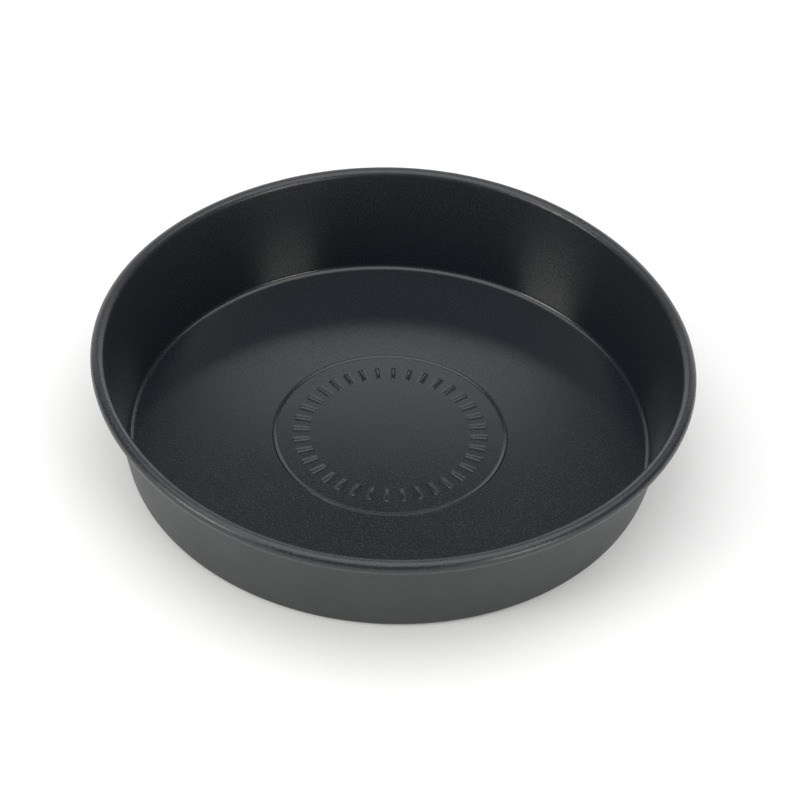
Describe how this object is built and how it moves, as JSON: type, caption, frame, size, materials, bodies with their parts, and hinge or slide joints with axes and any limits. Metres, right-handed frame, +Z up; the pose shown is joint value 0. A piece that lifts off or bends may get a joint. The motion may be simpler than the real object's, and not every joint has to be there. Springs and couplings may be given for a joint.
{
  "type": "round drip pan",
  "caption": "Shallow round drip pan of coated sheet steel, with a tapered wall, a rim rolled over a wire and a pressed ring in its floor, for catching fat and juices under food.",
  "frame": {"origin": "centre of the underside, on the surface that the pan stands on", "axes": "+Z up along the pan's axis, out of its open top; X and Y are alike, and the gap between the rim wire's two ends lies towards +X"},
  "size_m": [0.267, 0.267, 0.0516],
  "materials": {
    "nonstick_coating": "satin",
    "bright_steel": "satin"
  },
  "bodies": {
    "root": {"pan_shell": "nonstick_coating", "rim_wire": "bright_steel"}
  },
  "joints": []
}
